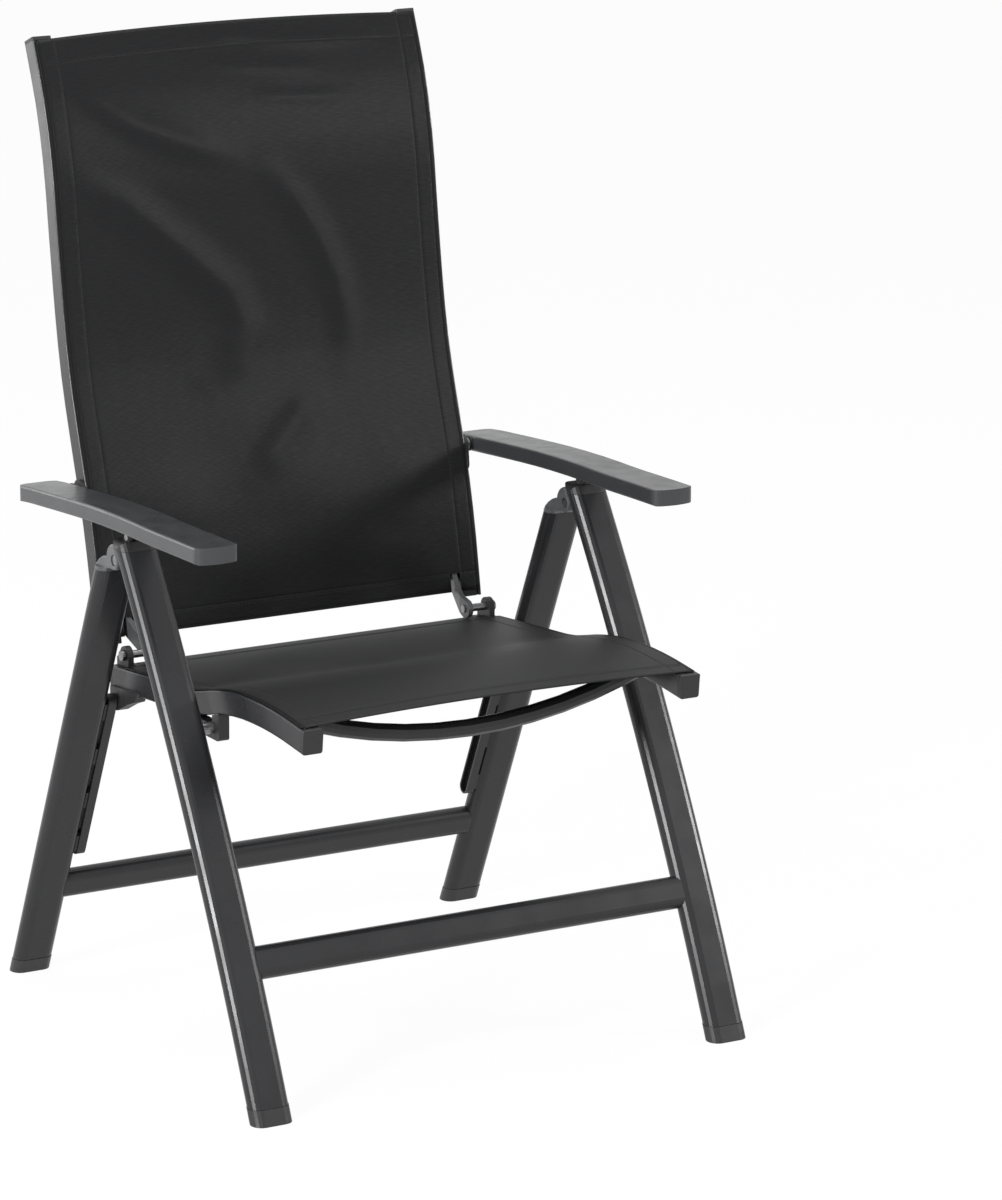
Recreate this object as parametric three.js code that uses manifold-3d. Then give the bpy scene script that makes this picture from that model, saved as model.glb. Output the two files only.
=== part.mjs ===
// A high-backed folding sling chair for the patio: flat-oval aluminium legs, curved rails with a fabric
// slot, stretched fabric seat and back, and armrests whose racks catch a pin on the front legs.
// Millimetres. X runs across the chair, -Y is the front and Z is up. The chair is drawn with Y = 0 in
// the middle of the feet, and the last lines move it so that its origin is bottom centre. Left and
// right are as seen from the front, so right is +X.
import * as THREE from "three";
import { mergeVertices } from "three/addons/utils/BufferGeometryUtils.js";
import Module from "manifold-3d";

const wasm = await Module();
wasm.setup();

// Stance
const footSpread = 605;
const legTrack = 576;
const frontLeanDeg = 28.9;
const rearLeanDeg = 24.2;
const frontLegBow = 15.5;

// Leg tubes and crossbars
const legWidth = 47;
const legDepth = 23;
const legWall = 1.8;
const frontLegTop = 566;
const rearLegTop = 533;
const legStep = 45;
const frontCrossbarHeight = 37;
const rearCrossbarHeight = 37;
const crossbarDepth = 20;
const crossbarWall = 1.6;
const frontCrossbarLevel = 154.7;
const rearCrossbarLevel = 115;

// Feet and the heads in the front leg tops
const footCapHeight = 17;
const footCapLip = 0.5;
const plugLength = 16;
const headCrown = 9.5;
const headCornerRadius = 9;
const notchPinLevel = 580;
const notchPinForward = 9.6;
const notchPinRadius = 4;
const notchPinHead = 1.2;
const earRadius = 6;
const earThickness = 4;

// Hinge between front and rear legs
const legPivotLevel = 551.2;
const legPivotSetback = 22.1;
const legPivotRadius = 3;
const legPivotHeadRadius = 5.5;
const legPivotHeadDepth = 2.4;
const legPivotRecess = 4;
const knuckleWidth = 39;
const knuckleRadius = 18.5;
const knuckleFrontReach = 9.5;
const knuckleEdge = 2;
const knuckleCollar = 5;
const cheekThickness = 8.5;
const lugBaseThickness = 3;
const lugBaseLength = 28;
const tongueRadius = 7;

// Seat frame
const railWidth = 24;
const railGap = 17.5;
const railWall = 2;
const railCornerRadius = 3;
const seatRailDepth = 27;
const seatRailRun = 453;
const seatRailRise = 42;
const seatRailRearLevel = 380;
const seatRailBehindPivot = 255.1;
const railCapThickness = 5.5;
const railPlugLength = 14;
const frontSpreaderRadius = 10;
const rearSpreaderRadius = 9;
const spreaderWall = 1.6;
const frontSpreaderSag = 42;
const frontSpreaderAhead = 122;
const rearSpreaderSag = 22;
const rearSpreaderBehind = 193;

// Fabric slot and fabric
const slotInset = 5;
const slotMouth = 2.4;
const slotMouthDepth = 2.2;
const slotRadius = 2.8;
const fabricThickness = 1.2;
const beadRadius = 2.2;
const seatFabricFrontInset = 3;
const seatFabricRearInset = 9;
const fabricScoop = 13;
const backFabricTopRise = 5;
const backFabricBow = 5.5;
const backFabricBottomInset = 8;

// Seat pivot on the front legs, and its bracket
const seatPivotLevel = 384;
const seatPivotBehind = 6;
const seatPivotRadius = 3.2;
const seatPivotShoulderRadius = 6.5;
const seatPivotReach = 8;
const bracketThickness = 13;
const bracketOverhang = 3.5;
const bracketTabDepth = 16;
const bracketBarHeight = 16;
const bracketAhead = 15;
const bracketBehind = 47;
const bracketBelow = 13;
const bracketBossRadius = 7;
const bracketCorner = 4;

// Slide pin at the seat's rear, its bracket and the guide on the rear leg
const slidePinLevel = 358;
const slidePinRadius = 4;
const slideRollerRadius = 5.2;
const slideRollerWidth = 6;
const slideTravel = 213.5;
const slideBracketAhead = 62;
const slideBracketBehind = 14;
const slideBracketBelow = 14;
const bracketFlange = 5;
const guideWall = 2.2;
const guideDepth = 12;
const guideStandoff = 1.6;
const guideTabLength = 22;
const guideTabDepth = 14;
const guideTabs = 4;
const guideRunning = 1;

// Hinge between seat and back
const backHingeLevel = 408;
const backHingeAhead = 14;
const hingeLugRadius = 10.5;
const hingeBoltRadius = 3.5;
const hingeBoltHeadRadius = 6;
const hingeBoltHeadDepth = 4;
const hingeBoltInnerHead = 2;
const hingeArmThickness = 6;
const hingeArmInset = 13.5;
const hingeSleeveRadius = 4.5;
const hingeEyeRadius = 11;
const hingeArmWidth = 11;
const hingeArmWall = 3.2;
const hingeArmBow = 7;
const hingeArmOffset = 9;
const rearCapShare = 0.8;
const hingeLugInset = 8.5;
const hingeLugThickness = 7;
const fabricNotchGap = 1.5;
const fabricNotchTop = 441;

// Back frame
const backRailDepth = 24;
const backRailRise = 667;
const backRailSetback = 164;
const backRailBottomLevel = 410;
const backRailBehindHinge = 47;
const backSpreaderRadius = 8;
const bottomSpreaderUp = 28;
const topSpreaderDown = 17;
const topCapThickness = 4;

// Armrests, their racks and pivots
const armrestGap = 13;
const armrestWidth = 51;
const armrestLength = 457;
const armrestOverhang = 197;
const armrestThickness = 18.5;
const armrestTopLevel = 606;
const armrestFrontRise = 3;
const armrestRearDrop = 18;
const armrestFrontRadius = 10;
const armrestRearRadius = 15;
const armrestFrontBow = 4;
const armrestEdge = 2.5;
const armPivotLevel = 583;
const armBoltRadius = 3;
const armBushRadius = 5.2;
const armBoltReach = 30;
const armFlangeRadius = 9;
const armFlangeThickness = 2;
const armBracketThickness = 4.2;
const armBracketRadius = 12;
const armBracketReach = 22;
const armBracketTaper = 0.6;
const rackWidth = 12;
const rackHeight = 12;
const rackRearReach = 63;
const rackNotches = 7;
const rackPitch = 16.2;
const rackNotchRadius = 4.7;
const rackNotchDepth = 5.5;
const rackLift = 0.9;

// Clearances and mesh fineness
const touchGap = 0.3;
const runningGap = 0.8;
const pinGap = 0.25;
const arcSteps = 5;
const pinSteps = 8;
const edgeSteps = 2;
const armrestSteps = 2;
const railArcSteps = 3;
const railSteps = 20;
const tubeArcSteps = 6;
const tubeSteps = 12;
const scoopSides = 240;
const searchStep = 1e-5;

const radians = THREE.MathUtils.degToRad;
const frontSlope = Math.tan(radians(frontLeanDeg));
const rearSlope = Math.tan(radians(rearLeanDeg));
const rearCos = Math.cos(radians(rearLeanDeg));
const legX = legTrack / 2;
const legInnerX = legX - legWidth / 2;
const railOuterX = legInnerX - railGap;
const railInnerX = railOuterX - railWidth;

// A place in the side view: Y to the back and Z up.
const at = (y, z) => new THREE.Vector2(y, z);
// The front legs bow forwards. This runs from -1 at the floor to 1 at their top.
const bowShare = (z) => (z * 2) / frontLegTop - 1;
const frontAxis = (z) => at(-footSpread / 2 + z * frontSlope - frontLegBow * (1 - bowShare(z) ** 2), z);
const frontRun = (z) => frontSlope + (frontLegBow * 2 * bowShare(z) * 2) / frontLegTop;
const rearAxis = (z) => at(footSpread / 2 - z * rearSlope, z);
const frontLine = { axis: frontAxis, slope: frontRun, step: legStep };
const rearLine = { axis: rearAxis, slope: () => -rearSlope, step: rearLegTop };
const hingeLean = Math.atan(frontRun(legPivotLevel));
const frontUp = at(Math.sin(hingeLean), Math.cos(hingeLean));
const frontBack = at(frontUp.y, -frontUp.x);
const rearUp = at(-Math.sin(radians(rearLeanDeg)), rearCos);
const rearBack = at(rearCos, -rearUp.x);
const moved = (place, along, distance) => place.clone().addScaledVector(along, distance);

// The pivots, seen from the side
const legPivot = at(frontAxis(legPivotLevel).x + legPivotSetback / frontBack.x, legPivotLevel);
const seatPivot = at(frontAxis(seatPivotLevel).x + seatPivotBehind, seatPivotLevel);
const slidePin = rearAxis(slidePinLevel);
const notchPin = at(frontAxis(notchPinLevel).x - notchPinForward, notchPinLevel);
const seatRailRear = at(seatPivot.x + seatRailBehindPivot, seatRailRearLevel);
const backHinge = at(seatRailRear.x - backHingeAhead, backHingeLevel);
const backRailBottom = at(backHinge.x + backRailBehindHinge, backRailBottomLevel);

const paint = {
  frame: new THREE.MeshStandardMaterial({ color: 0x4b4c4e, roughness: 0.45, metalness: 0.4 }),
  casting: new THREE.MeshStandardMaterial({ color: 0x76787a, roughness: 0.5, metalness: 0.3 }),
  plastic: new THREE.MeshStandardMaterial({ color: 0x1d1d1f, roughness: 0.55, metalness: 0 }),
  armrest: new THREE.MeshStandardMaterial({ color: 0x55565a, roughness: 0.5, metalness: 0.1 }),
  steel: new THREE.MeshStandardMaterial({ color: 0x9a9b9e, roughness: 0.35, metalness: 0.9 }),
  fabric: new THREE.MeshStandardMaterial({ color: 0x2f2f31, roughness: 0.85, metalness: 0 }),
};

const chair = new THREE.Group();
chair.name = "sling_patio_chair";

function add(name, geometry, material) {
  const mesh = new THREE.Mesh(geometry, material);
  mesh.name = name;
  chair.add(mesh);
}

// Geometry is made for the right side, and the left piece is its mirror image.
function addPair(name, geometry, material) {
  for (const [side, turn] of [["left", -1], ["right", 1]]) {
    const mesh = new THREE.Mesh(geometry, material);
    mesh.name = `${name}_${side}`;
    mesh.scale.x = turn;
    chair.add(mesh);
  }
}

// Joining and cutting
function toSolid(geometry) {
  const bare = new THREE.BufferGeometry();
  bare.setAttribute("position", geometry.getAttribute("position"));
  if (geometry.index) bare.setIndex(geometry.index);
  const merged = mergeVertices(bare, 1e-4);
  return new wasm.Manifold(
    new wasm.Mesh({
      numProp: 3,
      vertProperties: merged.attributes.position.array,
      triVerts: new Uint32Array(merged.index.array),
    }),
  );
}

function fromSolid(solid) {
  const mesh = solid.getMesh();
  const geometry = new THREE.BufferGeometry();
  geometry.setAttribute("position", new THREE.BufferAttribute(mesh.vertProperties, 3));
  geometry.setIndex(new THREE.BufferAttribute(mesh.triVerts, 1));
  geometry.computeVertexNormals();
  return geometry;
}

const join = (...parts) => fromSolid(parts.map(toSolid).reduce((sum, part) => sum.add(part)));
const cut = (body, ...tools) =>
  fromSolid(tools.map(toSolid).reduce((sum, tool) => sum.subtract(tool), toSolid(body)));
const keep = (body, ...limits) =>
  fromSolid(limits.map(toSolid).reduce((sum, limit) => sum.intersect(limit), toSolid(body)));

// Outlines
function ovalOutline(width, depth, path = new THREE.Shape()) {
  const radius = Math.min(width, depth) / 2;
  const reach = Math.abs(width - depth) / 2;
  const [dx, dy] = width > depth ? [reach, 0] : [0, reach];
  const turn = width > depth ? 0 : Math.PI / 2;
  path.absarc(dx, dy, radius, turn - Math.PI / 2, turn + Math.PI / 2, false);
  path.absarc(-dx, -dy, radius, turn + Math.PI / 2, turn + Math.PI * 1.5, false);
  path.closePath();
  return path;
}

function roundedBox(x0, y0, x1, y1, radius) {
  const shape = new THREE.Shape();
  shape.absarc(x1 - radius, y0 + radius, radius, -Math.PI / 2, 0, false);
  shape.absarc(x1 - radius, y1 - radius, radius, 0, Math.PI / 2, false);
  shape.absarc(x0 + radius, y1 - radius, radius, Math.PI / 2, Math.PI, false);
  shape.absarc(x0 + radius, y0 + radius, radius, Math.PI, Math.PI * 1.5, false);
  shape.closePath();
  return shape;
}

const outline = (...places) => new THREE.Shape(places);

function disc(centre, radius) {
  const shape = new THREE.Shape();
  shape.absarc(centre.x, centre.y, radius, 0, Math.PI * 2, false);
  return shape;
}

// Two discs and the band between their outer tangents.
function link(from, fromRadius, to, toRadius) {
  const run = to.clone().sub(from);
  const heading = run.angle();
  const lean = Math.acos((fromRadius - toRadius) / run.length());
  const shape = new THREE.Shape();
  shape.absarc(from.x, from.y, fromRadius, heading + lean, heading + Math.PI * 2 - lean, false);
  shape.absarc(to.x, to.y, toRadius, heading - lean, heading + lean, false);
  shape.closePath();
  return shape;
}

// A tube that follows a leg's line. Its level cuts are the section, longer from front to back where
// the line leans more.
function legTube(section, line, z0, z1) {
  const geometry = new THREE.ExtrudeGeometry(section, {
    depth: z1 - z0,
    steps: Math.ceil((z1 - z0) / line.step),
    bevelEnabled: false,
    curveSegments: arcSteps,
  });
  const places = geometry.getAttribute("position");
  for (let i = 0; i < places.count; i++) {
    const level = z0 + places.getZ(i);
    const reach = places.getY(i) * Math.hypot(1, line.slope(level));
    places.setXYZ(i, legX + places.getX(i), line.axis(level).x + reach, level);
  }
  geometry.computeVertexNormals();
  return geometry;
}

// A side-view outline drawn out from x0 to x1.
function plate(shape, x0, x1, edge = 0, curveSegments = arcSteps) {
  const geometry = new THREE.ExtrudeGeometry(shape, {
    depth: x1 - x0 - edge * 2,
    bevelEnabled: edge > 0,
    bevelThickness: edge,
    bevelSize: edge,
    bevelOffset: -edge,
    bevelSegments: edgeSteps,
    curveSegments,
  });
  const start = x0 + edge;
  const turn = new THREE.Matrix4().set(0, 0, 1, start, 1, 0, 0, 0, 0, 1, 0, 0, 0, 0, 0, 1);
  return geometry.applyMatrix4(turn);
}

const pin = (centre, radius, x0, x1) => plate(disc(centre, radius), x0, x1, 0, pinSteps);

// A front-view outline drawn out from y0 to y1.
function wall(shape, y0, y1, curveSegments = arcSteps) {
  const geometry = new THREE.ExtrudeGeometry(shape, { depth: y1 - y0, bevelEnabled: false, curveSegments });
  return geometry.rotateX(Math.PI / 2).translate(0, y1, 0);
}

// The left-hand twin of a right-hand solid.
const mirrored = (geometry) => fromSolid(toSolid(geometry).mirror([1, 0, 0]));

function box(x0, x1, y0, y1, z0, z1) {
  const geometry = new THREE.BoxGeometry(x1 - x0, y1 - y0, z1 - z0);
  return geometry.translate((x0 + x1) / 2, (y0 + y1) / 2, (z0 + z1) / 2);
}

function sweep(section, path, steps, curveSegments = railArcSteps) {
  return new THREE.ExtrudeGeometry(section, { extrudePath: path, steps, curveSegments });
}

// Legs
const boreWidth = legWidth - legWall * 2;
const boreDepth = legDepth - legWall * 2;

function hollow(section, width, depth) {
  section.holes.push(ovalOutline(width, depth, new THREE.Path()));
  return section;
}

const solidLeg = (line, z0, z1, grow = 0) =>
  legTube(ovalOutline(legWidth + grow * 2, legDepth + grow * 2), line, z0, z1);
const legShell = (line, top) => {
  const section = hollow(ovalOutline(legWidth, legDepth), boreWidth, boreDepth);
  return legTube(section, line, footCapHeight + touchGap, top);
};
const legPlug = (line, z0, z1) =>
  legTube(ovalOutline(boreWidth - touchGap * 2, boreDepth - touchGap * 2), line, z0, z1);

const seatPivotSocket = pin(seatPivot, seatPivotRadius + pinGap, legInnerX - legWall, legX);
addPair("front_leg", cut(legShell(frontLine, frontLegTop), seatPivotSocket), paint.frame);
addPair("rear_leg", legShell(rearLine, rearLegTop), paint.frame);

// Feet: a cap cut level with the floor, with a plug that fills the tube's bore.
const foot = (line) =>
  join(
    solidLeg(line, 0, footCapHeight, footCapLip),
    legPlug(line, footCapHeight / 2, footCapHeight + plugLength),
  );
addPair("front_foot", foot(frontLine), paint.plastic);
addPair("rear_foot", foot(rearLine), paint.plastic);

// Crossbars: hollow ovals that lean with the legs and are coped round them.
function crossbar(line, level, height) {
  const wallBoth = crossbarWall * 2;
  const section = hollow(ovalOutline(crossbarDepth, height), crossbarDepth - wallBoth, height - wallBoth);
  const centre = line.axis(level);
  const bar = plate(section, -legX, legX);
  bar.rotateX(-Math.atan(line.slope(level))).translate(0, centre.x, centre.y);
  const cope = solidLeg(line, level - height, level + height, touchGap);
  return cut(bar, cope, mirrored(cope));
}

add("front_crossbar", crossbar(frontLine, frontCrossbarLevel, frontCrossbarHeight), paint.frame);
add("rear_crossbar", crossbar(rearLine, rearCrossbarLevel, rearCrossbarHeight), paint.frame);

// Head of the front leg: a plug, a rounded crown, and two ears that carry the notch pin.
const topPlug = (line, top) => legPlug(line, top - plugLength, top + touchGap * 2);
const crownTop = frontLegTop + headCrown;
const crownTube = solidLeg(frontLine, frontLegTop + touchGap, crownTop);
const crownFace = roundedBox(
  legX - legWidth / 2,
  frontLegTop - headCrown,
  legX + legWidth / 2,
  crownTop,
  headCornerRadius,
);
const crown = keep(crownTube, wall(crownFace, -footSpread / 2, footSpread / 2));
const earInner = rackWidth / 2 + runningGap;
const earRoot = frontAxis(frontLegTop + headCrown / 2);
const ear = link(notchPin, earRadius, earRoot, earRadius);
const leftEar = plate(ear, legX - earInner - earThickness, legX - earInner);
const rightEar = plate(ear, legX + earInner, legX + earInner + earThickness);
const pinHole = pin(notchPin, notchPinRadius + pinGap, railOuterX, railOuterX + legWidth * 2);
const headPlug = topPlug(frontLine, frontLegTop);
addPair("front_leg_head", cut(join(headPlug, crown, leftEar, rightEar), pinHole), paint.plastic);
const pinEnd = earInner + earThickness + notchPinHead;
addPair("notch_pin", pin(notchPin, notchPinRadius, legX - pinEnd, legX + pinEnd), paint.steel);

// Hinge between the legs: a lug on the front leg's rear face, between the cheeks of a casting
// that plugs the rear leg.
const inFront = (back, up) => moved(moved(legPivot, frontBack, back - legPivotSetback), frontUp, up);
const inRear = (back, up) => moved(moved(legPivot, rearBack, back), rearUp, up);
const slotHalf = knuckleWidth / 2 - cheekThickness;
const legFace = legDepth / 2 + touchGap;
const lugFace = legFace + lugBaseThickness;
const lugOutline = new THREE.Shape();
const lugAngle = frontBack.angle();
lugOutline.setFromPoints([
  inFront(legFace, lugBaseLength / 2),
  inFront(legFace, -lugBaseLength / 2),
  inFront(lugFace, -lugBaseLength / 2),
  inFront(lugFace, -tongueRadius),
  inFront(legPivotSetback, -tongueRadius),
]);
lugOutline.absarc(legPivot.x, legPivot.y, tongueRadius, lugAngle - Math.PI / 2, lugAngle + Math.PI / 2, false);
lugOutline.lineTo(...inFront(lugFace, tongueRadius).toArray());
lugOutline.lineTo(...inFront(lugFace, lugBaseLength / 2).toArray());
const tongueHalf = slotHalf - runningGap;
const legPivotHole = pin(legPivot, legPivotRadius + pinGap, legX - legWidth, legX + legWidth);
const lug = plate(lugOutline, legX - tongueHalf, legX + tongueHalf);
addPair("leg_hinge_lug", cut(lug, legPivotHole), paint.casting);

const rearPivotBack = rearAxis(legPivotLevel).sub(legPivot).dot(rearBack);
const castingFoot = rearLegTop + touchGap;
const footHalf = legDepth / 2 / rearCos;
const castingBack = at(rearAxis(castingFoot).x + footHalf, castingFoot);
const castingFront = at(rearAxis(castingFoot).x - footHalf, castingFoot);
const footDrop = castingFront.clone().sub(legPivot).dot(rearUp);
const cheekReach = Math.acos(knuckleFrontReach / knuckleRadius);
const frontNormal = frontBack.angle() + Math.PI;
const rearNormal = rearBack.angle() + Math.PI;
// Shares of the way to the rear leg's back face and down to the casting's foot, for the two bends.
const knuckleBackShares = [
  [1, 0.9],
  [0.62, 0.25],
];
const knuckleFrontShare = 0.17;
const cheekShare = 0.33;
const knuckleOutline = new THREE.Shape();
knuckleOutline.moveTo(castingBack.x, castingBack.y);
const backFace = rearPivotBack + legDepth / 2;
const backBend = knuckleBackShares.map(([back, drop]) => inRear(backFace * back, footDrop * drop));
const backTangent = rearBack.angle() - cheekReach * cheekShare;
const backJoin = moved(legPivot, at(Math.cos(backTangent), Math.sin(backTangent)), knuckleRadius);
knuckleOutline.bezierCurveTo(
  ...backBend[0].toArray(),
  ...backBend[1].toArray(),
  ...backJoin.toArray(),
);
knuckleOutline.absarc(
  legPivot.x,
  legPivot.y,
  knuckleRadius,
  backTangent,
  frontNormal - cheekReach - Math.PI * 2,
  false,
);
knuckleOutline.absarc(legPivot.x, legPivot.y, knuckleFrontReach, frontNormal, rearNormal, false);
const frontDrop = inRear(-knuckleFrontReach, footDrop * knuckleFrontShare);
knuckleOutline.lineTo(frontDrop.x, frontDrop.y);
const frontFace = rearPivotBack - legDepth / 2;
knuckleOutline.bezierCurveTo(
  ...inRear(-knuckleFrontReach, footDrop / 2).toArray(),
  ...inRear(frontFace, footDrop / 2).toArray(),
  ...castingFront.toArray(),
);
const knuckleBody = plate(knuckleOutline, legX - knuckleWidth / 2, legX + knuckleWidth / 2, knuckleEdge);
const collar = solidLeg(rearLine, castingFoot, castingFoot + knuckleCollar);
const knucklePlug = topPlug(rearLine, rearLegTop);
const slotReach = Math.hypot(legPivotSetback - legFace, lugBaseLength / 2) + runningGap;
const knuckleSlot = pin(legPivot, slotReach, legX - slotHalf, legX + slotHalf);
const recessInner = knuckleWidth / 2 - legPivotRecess;
const recessRadius = legPivotHeadRadius + runningGap;
const recesses = [
  pin(legPivot, recessRadius, legX - legWidth, legX - recessInner),
  pin(legPivot, recessRadius, legX + recessInner, legX + legWidth),
];
const knuckle = cut(join(knuckleBody, collar, knucklePlug), knuckleSlot, legPivotHole, ...recesses);
addPair("rear_leg_knuckle", knuckle, paint.casting);
const boltFace = recessInner + touchGap;
const boltEnd = boltFace + legPivotHeadDepth;
const legBolt = join(
  pin(legPivot, legPivotRadius, legX - boltFace, legX + boltFace),
  pin(legPivot, legPivotHeadRadius, legX - boltEnd, legX - boltFace),
  pin(legPivot, legPivotHeadRadius, legX + boltFace, legX + boltEnd),
);
addPair("leg_hinge_bolt", legBolt, paint.steel);

// Rail extrusion. In its section x runs inboard from the outer side and y towards the fabric.
function railSection(depth, grow = 0, slotted = true) {
  const top = depth / 2 + grow;
  const [x0, x1] = [-grow, railWidth + grow];
  const corner = railCornerRadius;
  const shape = new THREE.Shape();
  shape.moveTo(x0, -top + corner);
  shape.quadraticCurveTo(x0, -top, x0 + corner, -top);
  shape.lineTo(x1 - corner, -top);
  shape.quadraticCurveTo(x1, -top, x1, -top + corner);
  shape.lineTo(x1, top - corner);
  shape.quadraticCurveTo(x1, top, x1 - corner, top);
  if (slotted) {
    const open = Math.acos(slotMouth / 2 / slotRadius);
    const centre = channelLevel(depth);
    shape.lineTo(slotInset + slotMouth / 2, top);
    shape.lineTo(slotInset + slotMouth / 2, top - slotMouthDepth);
    shape.absarc(slotInset, centre, slotRadius, open, Math.PI - open, true);
    shape.lineTo(slotInset - slotMouth / 2, top);
  }
  shape.lineTo(x0 + corner / 2, top);
  shape.quadraticCurveTo(x0, top, x0, top - corner / 2);
  shape.closePath();
  return shape;
}

function channelLevel(depth) {
  const neck = Math.sqrt(slotRadius ** 2 - (slotMouth / 2) ** 2);
  return depth / 2 - slotMouthDepth - neck;
}

function railTube(depth) {
  const section = railSection(depth);
  const [low, high] = [railWall - depth / 2, depth / 2 - railWall];
  const [outer, inner] = [railWall, railWidth - railWall];
  const step = slotInset + slotRadius + railWall;
  const shelf = channelLevel(depth) - slotRadius - railWall;
  const outside = [at(outer, low), at(outer, shelf), at(step, shelf), at(step, high)];
  const places = [...outside, at(inner, high), at(inner, low)];
  section.holes.push(new THREE.Path(places));
  return section;
}

function railPath(start, run, rise, shares) {
  const places = shares.map(([y, z]) => new THREE.Vector3(railOuterX, start.x + run * y, start.y + rise * z));
  return new THREE.CatmullRomCurve3(places);
}

// Shares of the rail's run and rise, from the front to the rear.
const seatShares = [
  [0, 0.845],
  [0.112, 0.964],
  [0.22, 1],
  [0.343, 0.929],
  [0.442, 0.738],
  [0.558, 0.429],
  [0.681, 0.298],
  [0.866, 0.131],
  [1, 0],
];
// Shares of the setback and the rise, from the bottom to the top.
const backShares = [
  [0, 0],
  [0.087, 0.116],
  [0.187, 0.215],
  [0.353, 0.337],
  [0.482, 0.439],
  [0.56, 0.528],
  [0.651, 0.671],
  [0.723, 0.792],
  [0.831, 0.896],
  [1, 1],
];
const seatFront = at(seatRailRear.x - seatRailRun, seatRailRear.y);
const seatPath = railPath(seatFront, seatRailRun, seatRailRise, seatShares);
const backPath = railPath(backRailBottom, backRailSetback, backRailRise, backShares);
addPair("seat_rail", sweep(railTube(seatRailDepth), seatPath, railSteps), paint.frame);
addPair("back_rail", sweep(railTube(backRailDepth), backPath, railSteps), paint.frame);
const seatEnvelope = sweep(railSection(seatRailDepth, touchGap, false), seatPath, railSteps);

// A straight piece on a rail's end: from and to are distances past it, measured along the rail.
function onEnd(path, share, section, from, to) {
  const [place, heading] = [path.getPoint(share), path.getTangent(share)];
  const line = new THREE.LineCurve3(
    place.clone().addScaledVector(heading, from),
    place.clone().addScaledVector(heading, to),
  );
  return sweep(section, line, 1);
}

function plugSection(depth) {
  const snug = railWall + touchGap;
  const shelf = channelLevel(depth) - slotRadius - snug;
  return outline(
    at(snug, snug - depth / 2),
    at(railWidth - snug, snug - depth / 2),
    at(railWidth - snug, shelf),
    at(snug, shelf),
  );
}

const seatFrontCap = join(
  onEnd(seatPath, 0, railSection(seatRailDepth, 0, false), -railCapThickness, -touchGap),
  onEnd(seatPath, 0, plugSection(seatRailDepth), -railCapThickness / 2, railPlugLength),
);
addPair("seat_front_cap", seatFrontCap, paint.plastic);
const backTopCap = join(
  onEnd(backPath, 1, railSection(backRailDepth, 0, false), touchGap, topCapThickness),
  onEnd(backPath, 1, plugSection(backRailDepth), -railPlugLength, topCapThickness / 2),
);
addPair("back_top_cap", backTopCap, paint.plastic);

// The rear cap of the seat rail carries a round lug for the back's hinge.
const lugOuterX = railOuterX - hingeLugInset;
const lugInnerX = lugOuterX - hingeLugThickness;
const railRearEnd = onEnd(seatPath, 1, railSection(seatRailDepth, touchGap, false), -railPlugLength, touchGap);
const capBack = seatRailRear.x + railCapThickness * rearCapShare;
const lugOutlineBack = outline(
  at(backHinge.x - hingeLugRadius, seatRailRear.y),
  at(capBack, seatRailRear.y),
  at(capBack, backHinge.y - hingeLugRadius / 2),
  at(backHinge.x + hingeLugRadius, backHinge.y),
  at(backHinge.x - hingeLugRadius, backHinge.y),
);
const hingeLug = cut(
  join(plate(lugOutlineBack, lugInnerX, lugOuterX), pin(backHinge, hingeLugRadius, lugInnerX, lugOuterX)),
  seatEnvelope,
  railRearEnd,
);
const hingeBoltHole = pin(backHinge, hingeBoltRadius + pinGap, 0, legX);
const seatRearCap = cut(
  join(
    onEnd(seatPath, 1, railSection(seatRailDepth, 0, false), touchGap, railCapThickness),
    onEnd(seatPath, 1, plugSection(seatRailDepth), -railPlugLength, railCapThickness / 2),
    hingeLug,
  ),
  hingeBoltHole,
);
addPair("seat_rear_cap", seatRearCap, paint.plastic);

// Spreader tubes. The seat's two sag in the middle so that nobody feels them through the fabric.
function ring(radius, wallThickness) {
  const shape = disc(at(0, 0), radius);
  shape.holes.push(disc(at(0, 0), radius - wallThickness));
  return shape;
}

function archedTube(place, sag, tubeRadius) {
  const half = railInnerX - touchGap;
  const radius = (railInnerX ** 2 + sag ** 2) / (sag * 2);
  const reach = Math.asin(railInnerX / radius) + tubeRadius / radius;
  const angles = [-reach, reach];
  const arc = Array.from({ length: tubeSteps + 1 }, (_, i) => {
    const angle = angles[0] + ((angles[1] - angles[0]) * i) / tubeSteps;
    const drop = place.y - sag + radius - radius * Math.cos(angle);
    return new THREE.Vector3(radius * Math.sin(angle), place.x, drop);
  });
  const line = new THREE.CatmullRomCurve3(arc);
  const tube = sweep(ring(tubeRadius, spreaderWall), line, tubeSteps, tubeArcSteps);
  return keep(tube, box(-half, half, place.x - sag, place.x + sag, place.y - sag * 2, place.y + sag));
}

// The middle of a rail at a given Y (axis "y") or height (axis "z").
function pointOn(path, axis, value) {
  let [low, high] = [0, 1];
  while (high - low > searchStep) {
    const middle = (low + high) / 2;
    if (path.getPoint(middle)[axis] < value) low = middle;
    else high = middle;
  }
  const point = path.getPoint(low);
  return at(point.y, point.z);
}

const frontSpreader = pointOn(seatPath, "y", seatPivot.x - frontSpreaderAhead);
const rearSpreader = pointOn(seatPath, "y", seatPivot.x + rearSpreaderBehind);
add("seat_front_tube", archedTube(frontSpreader, frontSpreaderSag, frontSpreaderRadius), paint.frame);
add("seat_rear_tube", archedTube(rearSpreader, rearSpreaderSag, rearSpreaderRadius), paint.frame);

function straightTube(place) {
  const half = railInnerX - touchGap;
  const line = new THREE.LineCurve3(
    new THREE.Vector3(-half, place.x, place.y),
    new THREE.Vector3(half, place.x, place.y),
  );
  return sweep(ring(backSpreaderRadius, spreaderWall), line, 1, tubeArcSteps);
}

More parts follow.
